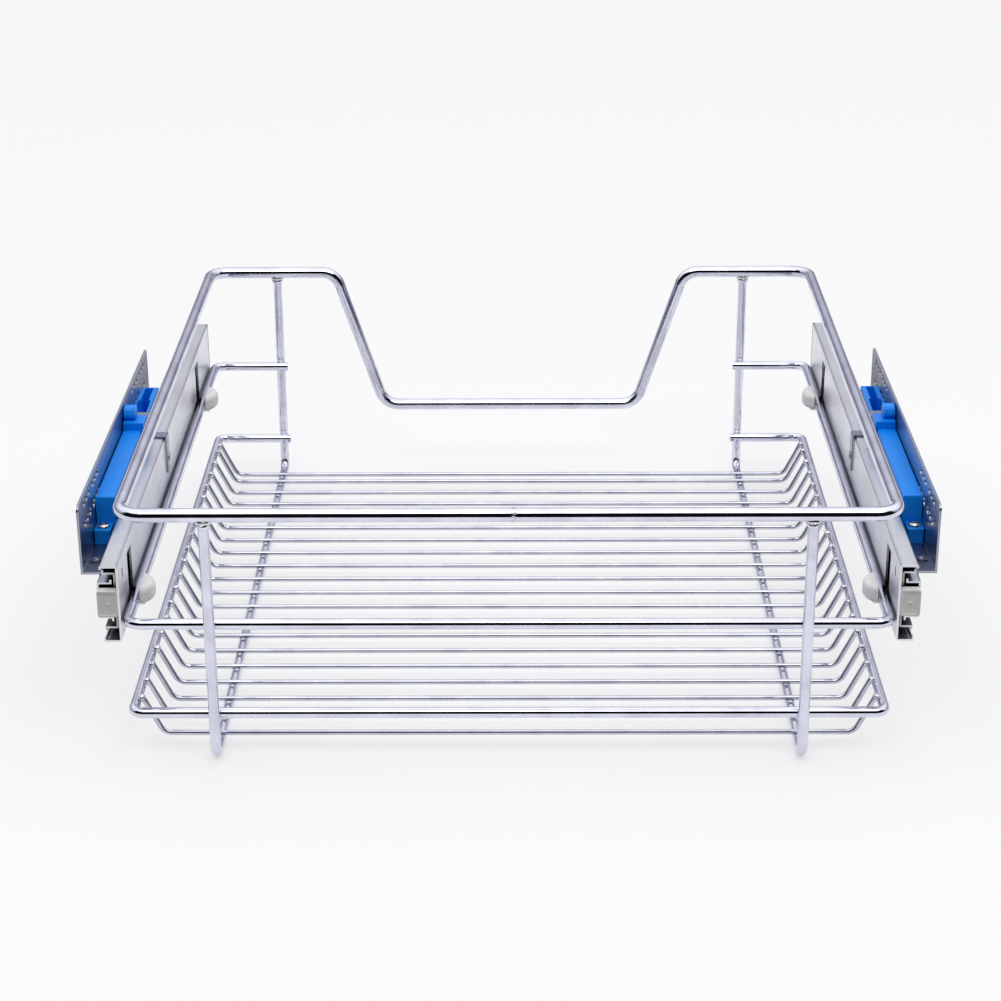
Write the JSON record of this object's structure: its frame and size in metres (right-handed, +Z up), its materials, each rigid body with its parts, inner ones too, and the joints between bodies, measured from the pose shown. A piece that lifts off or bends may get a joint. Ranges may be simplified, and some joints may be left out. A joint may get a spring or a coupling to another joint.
{
  "type": "pull out cabinet basket",
  "caption": "Chrome wire pull out cabinet basket with a rear plumbing dip, ball bearing side slides, wall brackets and soft close dampers.",
  "frame": {"origin": "bottom centre of the bounding box, on the floor midway between the U wires", "axes": "+X to the right seen from the front, -Y out of the cabinet, +Z up"},
  "size_m": [0.464, 0.4276, 0.1507],
  "materials": {
    "chrome_wire": "bright plated wire",
    "zinc_steel": "zinc plated cold rolled strip",
    "ball_steel": "polished hardened balls",
    "blue_plastic": "moulded, satin",
    "white_plastic": "translucent natural plastic",
    "grey_plastic": "moulded, light grey",
    "black_plastic": "moulded, black",
    "screw_steel": "zinc plated"
  },
  "bodies": {
    "brackets": {"bracket_left": "zinc_steel", "bracket_right": "zinc_steel", "cabinet_member_left": "zinc_steel", "cabinet_member_right": "zinc_steel", "rivets_left": "screw_steel", "rivets_right": "screw_steel", "damper_housing_left": "blue_plastic", "damper_housing_right": "blue_plastic", "damper_screw_left": "screw_steel", "damper_screw_right": "screw_steel", "rear_stop_left": "black_plastic", "rear_stop_right": "black_plastic"},
    "middle_left": {"middle_member_left": "zinc_steel"},
    "middle_right": {"middle_member_right": "zinc_steel"},
    "basket": {"top_rail": "chrome_wire", "middle_rail": "chrome_wire", "lower_rail": "chrome_wire", "u_wire_left": "chrome_wire", "u_wire_right": "chrome_wire", "floor_wires": "chrome_wire", "drawer_rail_left": "zinc_steel", "drawer_rail_right": "zinc_steel", "clip_front_left": "white_plastic", "clip_front_right": "white_plastic", "clip_rear_left": "white_plastic", "clip_rear_right": "white_plastic", "buffer_left": "grey_plastic", "buffer_right": "grey_plastic", "catch_strip_left": "zinc_steel", "catch_strip_right": "zinc_steel"},
    "cage_outer_left": {"outer_cage_left": "zinc_steel", "outer_balls_left": "ball_steel"},
    "cage_outer_right": {"outer_cage_right": "zinc_steel", "outer_balls_right": "ball_steel"},
    "cage_inner_left": {"inner_cage_left": "zinc_steel", "inner_balls_left": "ball_steel"},
    "cage_inner_right": {"inner_cage_right": "zinc_steel", "inner_balls_right": "ball_steel"},
    "catch_slider_left": {"catch_left": "blue_plastic"},
    "catch_slider_right": {"catch_right": "blue_plastic"}
  },
  "joints": [
    {"name": "middle_left_slide", "type": "slide", "parent": "brackets", "child": "middle_left", "axis": [0, -1, 0], "range_m": [0, 0.2]},
    {"name": "basket_slide", "type": "slide", "parent": "middle_left", "child": "basket", "axis": [0, -1, 0], "range_m": [0, 0.2]},
    {"name": "middle_right_slide", "type": "slide", "parent": "brackets", "child": "middle_right", "axis": [0, -1, 0], "range_m": [0, 0.2]},
    {"name": "cage_inner_left_slide", "type": "slide", "parent": "brackets", "child": "cage_inner_left", "axis": [0, -1, 0], "range_m": [0, 0.1]},
    {"name": "cage_inner_right_slide", "type": "slide", "parent": "brackets", "child": "cage_inner_right", "axis": [0, -1, 0], "range_m": [0, 0.1]},
    {"name": "cage_outer_left_slide", "type": "slide", "parent": "middle_left", "child": "cage_outer_left", "axis": [0, -1, 0], "range_m": [0, 0.1]},
    {"name": "cage_outer_right_slide", "type": "slide", "parent": "middle_right", "child": "cage_outer_right", "axis": [0, -1, 0], "range_m": [0, 0.1]},
    {"name": "catch_left_slide", "type": "slide", "parent": "brackets", "child": "catch_slider_left", "axis": [0, -1, 0], "range_m": [0, 0.04]},
    {"name": "catch_right_slide", "type": "slide", "parent": "brackets", "child": "catch_slider_right", "axis": [0, -1, 0], "range_m": [0, 0.04]}
  ],
  "couplings": [
    {"joint": "basket_slide", "follows": "middle_left_slide", "ratio": 1},
    {"joint": "middle_right_slide", "follows": "middle_left_slide", "ratio": 1},
    {"joint": "cage_inner_left_slide", "follows": "middle_left_slide", "ratio": 0.5},
    {"joint": "cage_inner_right_slide", "follows": "middle_left_slide", "ratio": 0.5},
    {"joint": "cage_outer_left_slide", "follows": "middle_left_slide", "ratio": 0.5},
    {"joint": "cage_outer_right_slide", "follows": "middle_left_slide", "ratio": 0.5}
  ]
}
